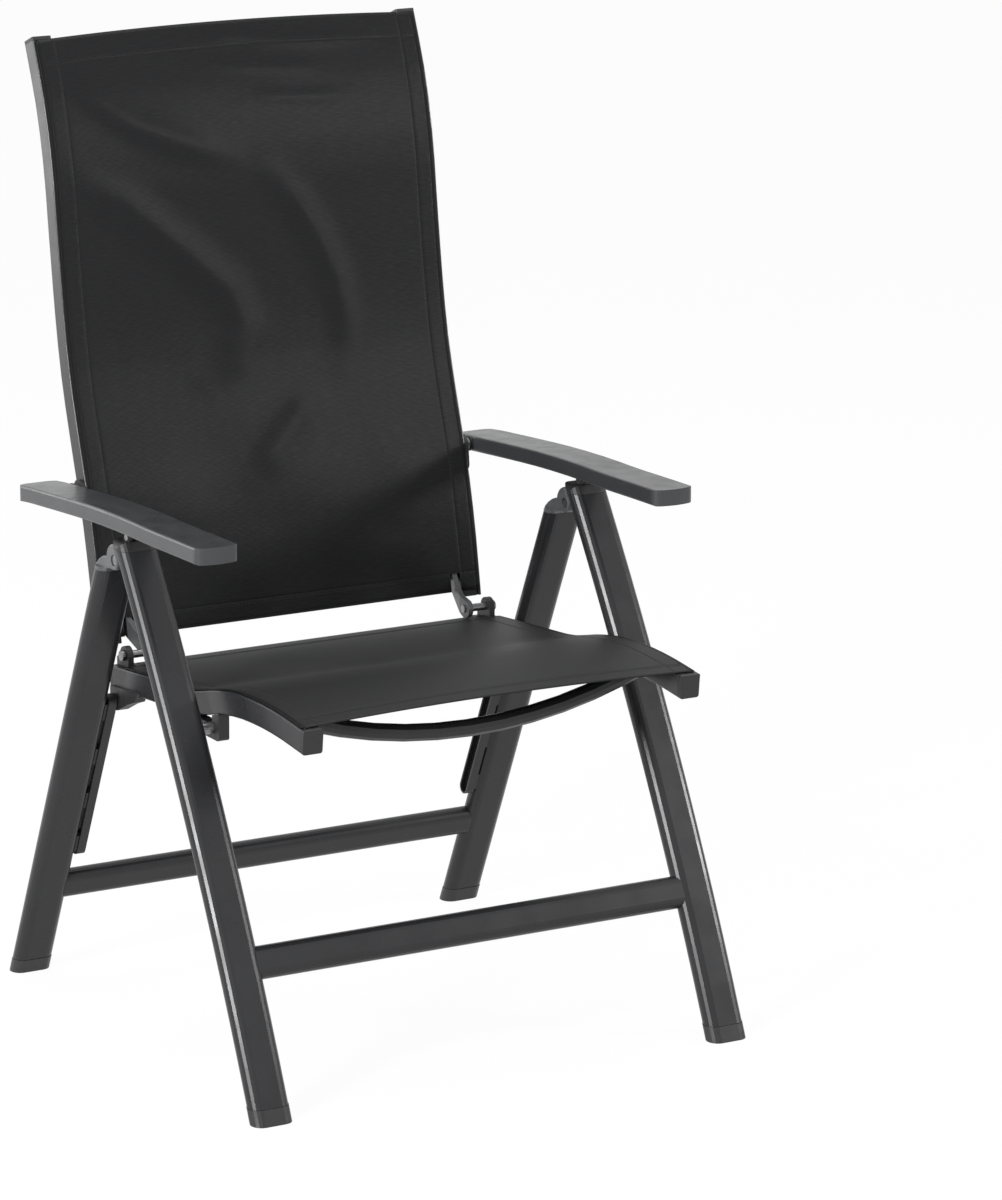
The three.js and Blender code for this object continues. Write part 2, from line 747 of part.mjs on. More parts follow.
const bottomSpreader = pointOn(backPath, "z", backRailBottom.y + bottomSpreaderUp);
const topSpreader = pointOn(backPath, "z", backRailBottom.y + backRailRise - topSpreaderDown);
add("back_bottom_tube", straightTube(bottomSpreader), paint.frame);
add("back_top_tube", straightTube(topSpreader), paint.frame);

// Seat pivot bracket: a bar under the rail, held by a tab at its front and a wall at its rear.
const bracketOuterX = railOuterX + bracketOverhang;
const bracketInnerX = bracketOuterX - bracketThickness;
const bracketFoot = seatPivot.y - bracketBelow;
const bracketBack = seatPivot.x + bracketBehind;
const bracketFront = seatPivot.x - bracketAhead;
const railUnder = (y) => pointOn(seatPath, "y", y).y;
const bracketOutline = roundedBox(
  bracketFront,
  bracketFoot,
  bracketBack,
  railUnder(bracketFront),
  bracketCorner,
);
const bracketWindow = new THREE.Path([
  at(bracketFront + bracketTabDepth, bracketFoot + bracketBarHeight),
  at(bracketBack - bracketTabDepth / 2, bracketFoot + bracketBarHeight),
  at(bracketBack - bracketTabDepth / 2, railUnder(bracketBack)),
  at(bracketFront + bracketTabDepth, railUnder(bracketFront) - bracketCorner),
]);
bracketOutline.holes.push(bracketWindow);
const seatBracket = cut(
  join(
    plate(bracketOutline, bracketInnerX, bracketOuterX),
    pin(seatPivot, bracketBossRadius, bracketInnerX, bracketOuterX),
  ),
  seatEnvelope,
  aboveRail(),
  pin(seatPivot, seatPivotRadius + pinGap, 0, legX),
);
addPair("seat_pivot_bracket", seatBracket, paint.plastic);

// Everything more than a flange's height over the seat rail's underside.
function aboveRail(flange = 0) {
  const drop = seatRailDepth / 2 - flange;
  const line = seatPath.getSpacedPoints(railSteps).map((point) => at(point.y, point.z - drop));
  const top = backHinge.y + backRailRise;
  return plate(outline(...line, at(line.at(-1).x, top), at(line[0].x, top)), 0, legX);
}

const shoulder = pin(seatPivot, seatPivotShoulderRadius, bracketOuterX + touchGap, legInnerX - touchGap);
const pivotShank = pin(seatPivot, seatPivotRadius, bracketInnerX, legInnerX + seatPivotReach);
addPair("seat_pivot_bolt", join(shoulder, pivotShank), paint.steel);

// Slide bracket under the rail's rear end, with the pin and roller that run in the rear leg's guide.
// Shares of the bracket's reach from the pin to the front or back, and down.
const slideShares = [
  [1, 0.43],
  [0.6, 1],
  [-0.09, 0.79],
  [-0.48, -0.07],
  [-0.78, -0.57],
];
const slideFront = slidePin.x - slideBracketAhead;
const slideBack = slidePin.x + slideBracketBehind;
const slideOutline = outline(
  at(slideFront, railUnder(slideFront) + bracketFlange),
  at(slideBack, railUnder(slideBack) + bracketFlange),
  ...slideShares.map(([along, down]) => {
    const reach = along < 0 ? slideBracketAhead : slideBracketBehind;
    return at(slidePin.x + reach * along, slidePin.y - slideBracketBelow * down);
  }),
  at(slideFront, railUnder(slideFront)),
);
const slideHole = pin(slidePin, slidePinRadius + pinGap, 0, legX);
const slideBody = plate(slideOutline, bracketInnerX, bracketOuterX);
const slideBracket = cut(slideBody, seatEnvelope, aboveRail(bracketFlange), slideHole);
addPair("slide_bracket", slideBracket, paint.plastic);

const guideInnerX = legInnerX - guideDepth;
const guideOuterX = legInnerX - guideStandoff;
const rollerOuterX = guideInnerX + slideRollerWidth;
const roller = pin(slidePin, slideRollerRadius, guideInnerX, rollerOuterX);
const slideShank = pin(slidePin, slidePinRadius, bracketInnerX, guideInnerX + touchGap);
addPair("slide_pin", join(slideShank, roller), paint.steel);

const slideEnd = moved(slidePin, rearUp, -slideTravel);
const guideSlotRadius = slideRollerRadius + guideRunning;
const guideRadius = guideSlotRadius + guideWall;
const guideShell = plate(link(slidePin, guideRadius, slideEnd, guideRadius), guideInnerX, guideOuterX);
const guideSlot = plate(
  link(slidePin, guideSlotRadius, slideEnd, guideSlotRadius),
  guideInnerX - guideWall,
  rollerOuterX + runningGap,
);
const tabs = Array.from({ length: guideTabs }, (_, i) => {
  const start = -(slideTravel - guideTabLength) * (i / (guideTabs - 1));
  const onGuide = (back, up) => moved(moved(slidePin, rearUp, up), rearBack, back);
  const tab = outline(
    onGuide(-guideTabDepth / 2, start - guideTabLength),
    onGuide(guideTabDepth / 2, start - guideTabLength),
    onGuide(guideTabDepth / 2, start),
    onGuide(-guideTabDepth / 2, start),
  );
  return plate(tab, guideOuterX - guideWall / 2, legX);
});
const guide = cut(join(guideShell, ...tabs), guideSlot, solidLeg(rearLine, 0, rearLegTop, touchGap));
addPair("slide_guide", guide, paint.frame);

// Back hinge: cast arms on the back's lower spreader, bolted through the seat's lugs.
const armOuterX = railInnerX - hingeArmInset;
const hingeArmInnerX = armOuterX - hingeArmThickness;
const hingeArm = cut(
  joggled(plate(curvedArm(backHinge, bottomSpreader), hingeArmInnerX, armOuterX)),
  pin(bottomSpreader, backSpreaderRadius + touchGap, 0, legX),
  hingeBoltHole,
);
addPair("back_hinge_bracket", hingeArm, paint.casting);

function curvedArm(from, to) {
  const run = to.clone().sub(from);
  const heading = run.angle();
  const [low, high] = [hingeEyeRadius, backSpreaderRadius + hingeArmWall];
  const side = at(Math.sin(heading), -Math.cos(heading));
  const bow = moved(from.clone().lerp(to, 0.5), side, hingeArmBow);
  const shape = new THREE.Shape();
  shape.absarc(from.x, from.y, low, heading + Math.PI / 2, heading + Math.PI * 1.5, false);
  const outer = moved(bow, side, hingeArmWidth / 2);
  const inner = moved(bow, side, -hingeArmWidth / 2);
  shape.quadraticCurveTo(outer.x, outer.y, to.x + side.x * high, to.y + side.y * high);
  shape.absarc(to.x, to.y, high, heading - Math.PI / 2, heading + Math.PI / 2, false);
  shape.quadraticCurveTo(inner.x, inner.y, from.x - side.x * low, from.y - side.y * low);
  return shape;
}

// Past its eye the arm leans outboard to the spreader.
function joggled(arm) {
  const start = backHinge.x + hingeEyeRadius;
  const sides = [hingeArmInnerX - touchGap, armOuterX + touchGap];
  const eye = keep(arm, box(...sides, 0, start + touchGap, 0, armrestTopLevel));
  const rest = keep(arm, box(...sides, start, footSpread, 0, armrestTopLevel));
  const places = rest.getAttribute("position");
  for (let i = 0; i < places.count; i++) {
    const share = (places.getY(i) - start) / (bottomSpreader.x - start);
    places.setX(i, places.getX(i) + hingeArmOffset * share);
  }
  return join(eye, rest);
}

const boltOuter = lugOuterX + touchGap;
const boltInner = hingeArmInnerX - touchGap;
const hingeBolt = join(
  pin(backHinge, hingeBoltRadius, boltInner, boltOuter),
  pin(backHinge, hingeBoltHeadRadius, boltOuter, boltOuter + hingeBoltHeadDepth),
  pin(backHinge, hingeSleeveRadius, boltInner - hingeBoltInnerHead, boltInner),
  pin(backHinge, hingeSleeveRadius, armOuterX + touchGap, lugInnerX - touchGap),
);
addPair("back_hinge_bolt", hingeBolt, paint.steel);

// Armrest pivots: a plate on the back rail, a bolt, and a flanged bush in the armrest.
const armPivot = at(pointOn(backPath, "z", armPivotLevel).x, armPivotLevel);
const armInnerX = railOuterX + armrestGap;
const armOuterXEdge = armInnerX + armrestWidth;
const plateInner = railOuterX + touchGap;
const plateOuter = plateInner + armBracketThickness;
const plateLow = pointOn(backPath, "z", armPivotLevel - armBracketReach);
const armBracket = cut(
  plate(link(armPivot, armBracketRadius, plateLow, armBracketRadius * armBracketTaper), plateInner, plateOuter),
  pin(armPivot, armBoltRadius + pinGap, 0, legX),
);
addPair("arm_bracket", armBracket, paint.plastic);

const bushInner = armInnerX - touchGap - armFlangeThickness;
const boltEndX = armInnerX + armBoltReach;
const armBolt = join(
  pin(armPivot, armBoltRadius, plateInner + touchGap, boltEndX),
  pin(armPivot, armFlangeRadius - armFlangeThickness, plateOuter + touchGap, bushInner - touchGap),
);
addPair("armrest_bolt", armBolt, paint.steel);
const bushBore = armBoltRadius + pinGap;
const armBush = cut(
  join(
    pin(armPivot, armBushRadius, bushInner, boltEndX - armFlangeThickness),
    pin(armPivot, armFlangeRadius, bushInner, bushInner + armFlangeThickness),
  ),
  pin(armPivot, bushBore, 0, legX * 2),
);
addPair("armrest_bush", armBush, paint.plastic);

// Armrests. Shares of the length from the front, and of the rise at the front or drop at the rear.
const armrestShares = [
  [0, 1.05],
  [0.125, 0.67],
  [0.258, 0.17],
  [0.409, 0],
  [0.584, -0.167],
  [0.759, -0.47],
  [0.86, -0.667],
  [0.928, -0.8],
  [1, -1],
];
const armrestFront = notchPin.x - armrestOverhang;
const armLine = (depth) =>
  armrestShares.map(([along, lift]) => {
    const rise = lift > 0 ? armrestFrontRise : armrestRearDrop;
    return at(armrestFront + armrestLength * along, armrestTopLevel - depth + rise * lift);
  });
const armProfile = new THREE.Shape();
const under = armLine(armrestThickness);
armProfile.moveTo(under[0].x, under[0].y);
armProfile.splineThru(under.slice(1));
const over = armLine(0).reverse();
armProfile.lineTo(over[0].x, over[0].y);
armProfile.splineThru(over.slice(1));
armProfile.closePath();
const armBlank = plate(armProfile, armInnerX, armOuterXEdge, armrestEdge, armrestSteps);
const armPlan = new THREE.Shape();
const armRear = armrestFront + armrestLength;
armPlan.moveTo(armInnerX, armrestFront + armrestFrontBow + armrestFrontRadius);
armPlan.quadraticCurveTo(
  armInnerX,
  armrestFront + armrestFrontBow,
  armInnerX + armrestFrontRadius,
  armrestFront + armrestFrontBow / 2,
);
armPlan.quadraticCurveTo(
  armInnerX + armrestWidth / 2,
  armrestFront - armrestFrontBow / 2,
  armOuterXEdge - armrestFrontRadius,
  armrestFront + armrestFrontBow / 2,
);
armPlan.quadraticCurveTo(
  armOuterXEdge,
  armrestFront + armrestFrontBow,
  armOuterXEdge,
  armrestFront + armrestFrontBow + armrestFrontRadius,
);
const armTurn = armRear - armrestRearRadius;
armPlan.absarc(armOuterXEdge - armrestRearRadius, armTurn, armrestRearRadius, 0, Math.PI / 2);
armPlan.absarc(armInnerX + armrestRearRadius, armTurn, armrestRearRadius, Math.PI / 2, Math.PI);
armPlan.closePath();
const armColumn = new THREE.ExtrudeGeometry(armPlan, {
  depth: armrestTopLevel,
  bevelEnabled: false,
  curveSegments: arcSteps,
});
armColumn.translate(0, 0, armrestTopLevel / 2);

// The rack lies in a channel under the armrest, over the notch pin.
const rackFoot = notchPin.y + notchPinRadius + rackLift;
const rackTop = rackFoot + rackHeight;
const rackRear = notchPin.x + rackRearReach;
const rackFront = notchPin.x - rackPitch * (rackNotches - 1) - rackNotchRadius * 2;
const rackSides = [legX - rackWidth / 2, legX + rackWidth / 2];
const notches = Array.from({ length: rackNotches }, (_, i) => {
  const centre = at(notchPin.x - rackPitch * i, rackFoot + rackNotchDepth - rackNotchRadius);
  return pin(centre, rackNotchRadius, 0, legX * 2);
});
const rackBar = box(...rackSides, rackFront, rackRear, rackFoot, rackTop);
addPair("armrest_rack", cut(rackBar, ...notches), paint.plastic);
const channel = box(
  rackSides[0] - touchGap,
  rackSides[1] + touchGap,
  rackFront - touchGap,
  rackRear + touchGap,
  rackFoot - rackHeight,
  rackTop + touchGap,
);
const bushSocket = pin(armPivot, armBushRadius + pinGap, 0, boltEndX + touchGap);
addPair("armrest", cut(keep(armBlank, armColumn), channel, bushSocket), paint.armrest);

// Fabric: one strip across both rails, hemmed round a bead that sits in each rail's channel.
function slingSection(depth) {
  const face = depth / 2 + touchGap;
  const middle = channelLevel(depth) + slotRadius - beadRadius - touchGap;
  const half = fabricThickness / 2;
  const neck = Math.asin(half / beadRadius);
  const far = railOuterX * 2 - slotInset;
  const shape = new THREE.Shape();
  shape.moveTo(slotInset - half, face + fabricThickness);
  shape.lineTo(slotInset - half, face);
  shape.absarc(slotInset, middle, beadRadius, Math.PI / 2 + neck, Math.PI * 2.5 - neck, false);
  shape.lineTo(slotInset + half, face);
  shape.lineTo(far - half, face);
  shape.absarc(far, middle, beadRadius, Math.PI / 2 + neck, Math.PI * 2.5 - neck, false);
  shape.lineTo(far + half, face + fabricThickness);
  shape.closePath();
  return shape;
}

// What a level strip across both rails takes off the fabric at a rail's end.
function endTrim(path, share, depth, from, to) {
  const [outer, inner] = [-railGap, railOuterX * 2 + railGap];
  const strip = outline(at(outer, -depth), at(inner, -depth), at(inner, depth), at(outer, depth));
  return onEnd(path, share, strip, from, to);
}

// The radius of an arc between the rails with a given rise in its middle.
const bowRadius = (rise) => (railInnerX ** 2 + rise ** 2) / (rise * 2);

const seatCloth = sweep(slingSection(seatRailDepth), seatPath, railSteps);
const scoopRadius = bowRadius(fabricScoop);
const scoop = new THREE.CylinderGeometry(scoopRadius, scoopRadius, armrestTopLevel, scoopSides);
scoop.rotateX(Math.PI / 2).translate(0, seatFront.x + fabricScoop - scoopRadius, seatRailRear.y);
const scoopLimit = box(-railInnerX, railInnerX, seatFront.x - seatRailRun, seatRailRear.x, 0, armrestTopLevel);
// The rear corners are cut away for the hinge lugs.
const seatNotch = box(
  lugInnerX - fabricNotchGap,
  legX,
  backHinge.x - hingeLugRadius - fabricNotchGap,
  footSpread,
  0,
  armrestTopLevel,
);
const seatTools = [
  keep(scoop, scoopLimit),
  seatNotch,
  mirrored(seatNotch),
  endTrim(seatPath, 0, seatRailDepth, -touchGap, seatFabricFrontInset),
  endTrim(seatPath, 1, seatRailDepth, -seatFabricRearInset, touchGap),
];
add("seat_sling", cut(seatCloth, ...seatTools), paint.fabric);

// The back's cloth stands over the rails' ends in a shallow bow.
const backTop = backRailBottom.y + backRailRise;
const hemRadius = bowRadius(backFabricBow);
const hemReach = Math.asin(railOuterX / hemRadius);
const hemFace = new THREE.Shape();
hemFace.moveTo(-railOuterX, 0);
hemFace.lineTo(railOuterX, 0);
hemFace.absarc(
  0,
  backTop + backFabricTopRise + backFabricBow - hemRadius,
  hemRadius,
  Math.PI / 2 - hemReach,
  Math.PI / 2 + hemReach,
  false,
);
hemFace.closePath();
const pastEnd = topCapThickness + backFabricBow + backFabricTopRise;
const backSection = slingSection(backRailDepth);
const backCloth = join(sweep(backSection, backPath, railSteps), onEnd(backPath, 1, backSection, 0, pastEnd));
// Slots in its lower edge for the hinge arms.
const armSlot = box(
  hingeArmInnerX + hingeArmOffset / 2 - fabricNotchGap,
  armOuterX + hingeArmOffset + fabricNotchGap,
  0,
  footSpread,
  0,
  fabricNotchTop,
);
const backLimit = wall(hemFace, 0, footSpread, railSteps);
// The hems in the channels end with the rails.
const railEnd = onEnd(backPath, 1, railSection(backRailDepth, touchGap / 2, false), -touchGap, pastEnd);
const backTrim = endTrim(backPath, 0, backRailDepth, -touchGap, backFabricBottomInset);
const backTools = [armSlot, mirrored(armSlot), railEnd, mirrored(railEnd), backTrim];
add("back_sling", cut(keep(backCloth, backLimit), ...backTools), paint.fabric);

const bounds = new THREE.Box3().setFromObject(chair);
chair.position.y = -(bounds.min.y + bounds.max.y) / 2;

export default chair;
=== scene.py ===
import math

import bmesh
import bpy
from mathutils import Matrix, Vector
from mathutils.bvhtree import BVHTree


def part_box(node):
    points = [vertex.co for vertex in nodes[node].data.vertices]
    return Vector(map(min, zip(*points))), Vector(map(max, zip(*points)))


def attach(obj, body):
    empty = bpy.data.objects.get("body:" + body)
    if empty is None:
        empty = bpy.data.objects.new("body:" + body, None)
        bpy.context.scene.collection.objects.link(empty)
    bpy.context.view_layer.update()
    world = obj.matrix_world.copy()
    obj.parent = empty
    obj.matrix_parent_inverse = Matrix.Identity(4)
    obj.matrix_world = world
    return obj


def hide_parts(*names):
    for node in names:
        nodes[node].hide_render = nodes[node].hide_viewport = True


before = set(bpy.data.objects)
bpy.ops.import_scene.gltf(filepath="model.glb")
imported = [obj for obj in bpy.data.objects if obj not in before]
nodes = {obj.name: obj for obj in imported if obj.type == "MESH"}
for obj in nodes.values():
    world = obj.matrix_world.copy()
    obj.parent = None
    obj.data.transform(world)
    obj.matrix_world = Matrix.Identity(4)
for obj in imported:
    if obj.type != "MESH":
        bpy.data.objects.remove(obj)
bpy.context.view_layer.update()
print("frame loaded:", len(nodes), "nodes")


# camera: a long lens in front of the chair, a little to its left and above the armrests
camera = {
    "azimuth": -28.8,        # degrees round from straight ahead
    "elevation": 13.6,       # degrees above the floor
    "distance": 6.0188,      # metres from the point below
    "aimHeight": 0.54,
    "lens": 161.15,
    "shift": (0.10875, -0.04683),
    "farLimit": 60,
}


def middleOfFeet():
    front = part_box("front_foot_left")
    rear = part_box("rear_foot_left")
    return (front[0].y + front[1].y + rear[0].y + rear[1].y) / 4


def placeCamera(spec, footMiddle):
    azimuth = math.radians(spec["azimuth"])
    elevation = math.radians(spec["elevation"])
    aim = Vector((0, footMiddle, spec["aimHeight"]))
    away = Vector((
        math.sin(azimuth) * math.cos(elevation),
        -math.cos(azimuth) * math.cos(elevation),
        math.sin(elevation),
    ))
    data = bpy.data.cameras.new("photoCamera")
    data.lens = spec["lens"]
    data.shift_x, data.shift_y = spec["shift"]
    data.clip_end = spec["farLimit"]
    body = bpy.data.objects.new("photoCamera", data)
    body.location = aim + away * spec["distance"]
    body.rotation_euler = (-away).to_track_quat("-Z", "Y").to_euler()
    bpy.context.scene.collection.objects.link(body)
    bpy.context.scene.camera = body


placeCamera(camera, middleOfFeet())
print("camera placed")


# room: white all round for the camera, plain soft boxes for the light
room = {
    "background": 1.0,
    "skyLight": 0.34,
    "floorSize": 16.0,
    "floorColor": 0.94,
    "floorGlow": 0.955,       # how much of the floor the camera sees as plain white
    "lampAim": (0, 0, 0.5),
    "lamps": [
        # name, place, width, height, watts
        ("leftStrip", (-3.75, -1.6, 2.05), 0.45, 1.9, 225),
        ("leftRear", (-2.5, 3.6, 0.95), 2.4, 1.8, 34),
        ("rightSpot", (3.5, -2.5, 2.0), 0.6, 0.7, 70),
        ("topSheet", (0.1, 0.6, 3.6), 2.4, 2.4, 56),
    ],
}
white = (1, 1, 1, 1)


def mathNode(tree, operation, *values):
    node = tree.nodes.new("ShaderNodeMath")
    node.operation = operation
    for socket, value in zip(node.inputs, values):
        if isinstance(value, (int, float)):
            socket.default_value = value
        else:
            tree.links.new(value, socket)
    return node.outputs[0]


def mixShaders(tree, share, first, second, out):
    mix = tree.nodes.new("ShaderNodeMixShader")
    tree.links.new(share, mix.inputs["Fac"])
    tree.links.new(first, mix.inputs[1])
    tree.links.new(second, mix.inputs[2])
    tree.links.new(mix.outputs[0], out.inputs["Surface"])


def seenByEye(tree):
    # camera, gloss and glass rays all meet the white background
    path = tree.nodes.new("ShaderNodeLightPath")
    eyeOrGloss = mathNode(tree, "MAXIMUM", path.outputs["Is Camera Ray"], path.outputs["Is Glossy Ray"])
    return mathNode(tree, "MAXIMUM", eyeOrGloss, path.outputs["Is Transmission Ray"])


def skyOf(tree, strength):
    sky = tree.nodes.new("ShaderNodeBackground")
    sky.inputs["Color"].default_value = white
    sky.inputs["Strength"].default_value = strength
    return sky.outputs[0]


def makeWorld(spec):
    world = bpy.data.worlds.new("studio")
    bpy.context.scene.world = world
    world.use_nodes = True
    tree = world.node_tree
    tree.nodes.clear()
    out = tree.nodes.new("ShaderNodeOutputWorld")
    soft = skyOf(tree, spec["skyLight"])
    seen = skyOf(tree, spec["background"])
    mixShaders(tree, seenByEye(tree), soft, seen, out)


def makeLamps(spec):
    for name, place, width, height, watts in spec["lamps"]:
        lamp = bpy.data.lights.new(name, "AREA")
        lamp.shape = "RECTANGLE"
        lamp.size, lamp.size_y = width, height
        lamp.energy = watts
        holder = bpy.data.objects.new(name, lamp)
        holder.location = place
        toChair = Vector(spec["lampAim"]) - Vector(place)
        holder.rotation_euler = toChair.to_track_quat("-Z", "Y").to_euler()
        bpy.context.scene.collection.objects.link(holder)


def makeFloor(spec):
    half = spec["floorSize"] / 2
    mesh = bpy.data.meshes.new("floor")
    corners = [(-half, -half, 0), (half, -half, 0), (half, half, 0), (-half, half, 0)]
    mesh.from_pydata(corners, [], [(0, 1, 2, 3)])
    floor = bpy.data.objects.new("floor", mesh)
    bpy.context.scene.collection.objects.link(floor)
    paint = bpy.data.materials.new("floorPaint")
    paint.use_nodes = True
    tree = paint.node_tree
    tree.nodes.clear()
    out = tree.nodes.new("ShaderNodeOutputMaterial")
    matt = tree.nodes.new("ShaderNodeBsdfDiffuse")
    matt.inputs["Color"].default_value = (spec["floorColor"],) * 3 + (1,)
    glow = tree.nodes.new("ShaderNodeEmission")
    glow.inputs["Color"].default_value = white
    share = mathNode(tree, "MULTIPLY", seenByEye(tree), spec["floorGlow"])
    mixShaders(tree, share, matt.outputs[0], glow.outputs[0], out)
    mesh.materials.append(paint)


bpy.context.scene.view_settings.view_transform = "Standard"
makeWorld(room)
makeLamps(room)
makeFloor(room)
print("room lit")


# finishes of the hard pieces, with places and sizes in metres
powderCoat = {
    "color": (0.015, 0.0152, 0.0165),
    "cloudShare": 0.10, "cloudSize": 0.09,
    "grainSize": 0.0011, "grainHeight": 0.00002,
    "roughness": (0.25, 0.33), "metallic": 0.0, "specular": 0.34,
    "edgeRadius": 0.0008, "edgeHighlightLift": 0.5,
}
castGrey = {
    "color": (0.07, 0.0715, 0.074),
    "cloudShare": 0.14, "cloudSize": 0.03,
    "grainSize": 0.0016, "grainHeight": 0.00012,
    "roughness": (0.34, 0.5), "metallic": 0.15, "specular": 0.5,
    "edgeRadius": 0.0007, "edgeHighlightLift": 0.4,
}
# a darker copy of the cast finish: painted shade on the back hinge bracket's arm
castPaintedShade = {**castGrey, "color": (0.045, 0.046, 0.048), "metallic": 0.0, "specular": 0.4}
mouldedBlack = {
    "color": (0.014, 0.014, 0.015),
    "cloudShare": 0.08, "cloudSize": 0.02,
    "grainSize": 0.0005, "grainHeight": 0.00004,
    "roughness": (0.42, 0.56), "metallic": 0.0, "specular": 0.4,
    "edgeRadius": 0.0006, "edgeHighlightLift": 0.25,
}
# near-black with little gloss: painted shade standing for the channels' shadow
slotShadeLook = {**mouldedBlack, "color": (0.005, 0.005, 0.005), "specular": 0.12, "edgeHighlightLift": 0.0}
armrestGrey = {
    "color": (0.030, 0.031, 0.033),
    "cloudShare": 0.08, "cloudSize": 0.05,
    "grainSize": 0.0009, "grainHeight": 0.00005,
    "roughness": (0.27, 0.36), "metallic": 0.0, "specular": 0.5,
    "edgeRadius": 0.0012, "edgeHighlightLift": 0.3,
}
# a lighter copy of the powder coat: painted light on the rear feet
footLitGrey = {**powderCoat, "color": (0.024, 0.024, 0.025), "roughness": (0.34, 0.42)}
zincPlate = {
    "color": (0.22, 0.22, 0.225),
    "cloudShare": 0.2, "cloudSize": 0.004,
    "grainSize": 0.0004, "grainHeight": 0.00002,
    "roughness": (0.24, 0.4), "metallic": 0.9, "specular": 0.5,
    "edgeRadius": 0.0003, "edgeHighlightLift": 0.2,
}
# what all of them share
grain = {"detail": 3.0, "fleck": (0.94, 1.06), "bump": 0.6, "smearShare": 0.4}
noiseBand = (0.3, 0.7)        # nearly all of a noise texture's values lie in here
edgeBand = (0.99, 0.85)       # cosine between a face and its rounded self, on a flat and on a full edge
edgeSamples = 4


def newFinish(name):
    finish = bpy.data.materials.new(name)
    finish.use_nodes = True
    return finish, finish.node_tree, finish.node_tree.nodes["Principled BSDF"]


def noiseAt(tree, place, size, detail=2.0):
    noise = tree.nodes.new("ShaderNodeTexNoise")
    noise.inputs["Scale"].default_value = 1 / size
    noise.inputs["Detail"].default_value = detail
    tree.links.new(place, noise.inputs["Vector"])
    return noise.outputs["Fac"]


def mapRange(tree, value, source, target):
    scale = tree.nodes.new("ShaderNodeMapRange")
    scale.inputs["From Min"].default_value = source[0]
    scale.inputs["From Max"].default_value = source[1]
    scale.inputs["To Min"].default_value = target[0]
    scale.inputs["To Max"].default_value = target[1]
    tree.links.new(value, scale.inputs["Value"])
    return scale.outputs["Result"]


def swingRound(tree, noise, middle, swing):
    return mapRange(tree, noise, noiseBand, (middle - swing, middle + swing))


def tinted(tree, color, amount):
    # the same colour, made darker or lighter by a value round 1
    shade = tree.nodes.new("ShaderNodeVectorMath")
    shade.operation = "SCALE"
    shade.inputs[0].default_value = color
    tree.links.new(amount, shade.inputs["Scale"])
    return shade.outputs[0]


def addBump(tree, shader, height, strength, distance):
    bump = tree.nodes.new("ShaderNodeBump")
    bump.inputs["Strength"].default_value = strength
    bump.inputs["Distance"].default_value = distance
    tree.links.new(height, bump.inputs["Height"])
    tree.links.new(bump.outputs[0], shader.inputs["Normal"])


def paintedEdgeHighlightMask(tree, radius):
    # 0 on the flats, up to 1 on the outer edges, where the colour gets a painted highlight
    bevel = tree.nodes.new("ShaderNodeBevel")
    bevel.samples = edgeSamples
    bevel.inputs["Radius"].default_value = radius
    surface = tree.nodes.new("ShaderNodeNewGeometry")
    likeness = tree.nodes.new("ShaderNodeVectorMath")
    likeness.operation = "DOT_PRODUCT"
    tree.links.new(bevel.outputs[0], likeness.inputs[0])
    tree.links.new(surface.outputs["Normal"], likeness.inputs[1])
    return mapRange(tree, likeness.outputs["Value"], edgeBand, (0, 1))


def makeFinish(name, look):
    finish, tree, shader = newFinish(name)
    place = tree.nodes.new("ShaderNodeTexCoord").outputs["Object"]
    cloud = swingRound(tree, noiseAt(tree, place, look["cloudSize"]), 1, look["cloudShare"])
    speck = noiseAt(tree, place, look["grainSize"], grain["detail"])
    tone = mathNode(tree, "MULTIPLY", cloud, mapRange(tree, speck, noiseBand, grain["fleck"]))
    # painted highlight: the colour is lightened along the outer edges
    toneWithEdgeHighlight = mathNode(tree, "MULTIPLY_ADD", paintedEdgeHighlightMask(tree, look["edgeRadius"]), look["edgeHighlightLift"], tone)
    tree.links.new(tinted(tree, look["color"], toneWithEdgeHighlight), shader.inputs["Base Color"])
    smear = noiseAt(tree, place, look["cloudSize"] * grain["smearShare"])
    tree.links.new(mapRange(tree, smear, noiseBand, look["roughness"]), shader.inputs["Roughness"])
    shader.inputs["Metallic"].default_value = look["metallic"]
    shader.inputs["Specular IOR Level"].default_value = look["specular"]
    addBump(tree, shader, speck, grain["bump"], look["grainHeight"])
    return finish


# woven coated mesh: single threads both ways, in metres along the cloth
wovenMesh = {
    "thread": 0.0014, "threadHeight": 0.00022, "bump": 0.5,
    "color": (0.0125, 0.0127, 0.0134),
    # painted shade in the pits between the threads and painted light on their crests
    "pitShadeShare": 0.35,             # how dark the pits between the threads are
    "crest": 0.6, "crestLightTone": 1.15,
    "slubScale": (60, 1400, 1),   # slubs are long thin streaks of slightly different thread
    "slubShare": 0.08,
    "roughness": 0.27, "roughnessSwing": 0.015, "specular": 0.09,
}
# painted paler than the back's weave: painted light on the seat's upward face
litSeatWeave = {**wovenMesh, "color": (0.0145, 0.0147, 0.0154), "roughness": 0.5, "specular": 0.15}
sewingThread = {
    "color": (0.012, 0.012, 0.013), "tone": (0.7, 1.3),
    "twist": 0.0006, "twistHeight": 0.0001, "bump": 0.6,
    "roughness": 0.6, "specular": 0.3,
}


def waveAlong(tree, value, step):
    return mathNode(tree, "SINE", mathNode(tree, "MULTIPLY", value, 2 * math.pi / step))


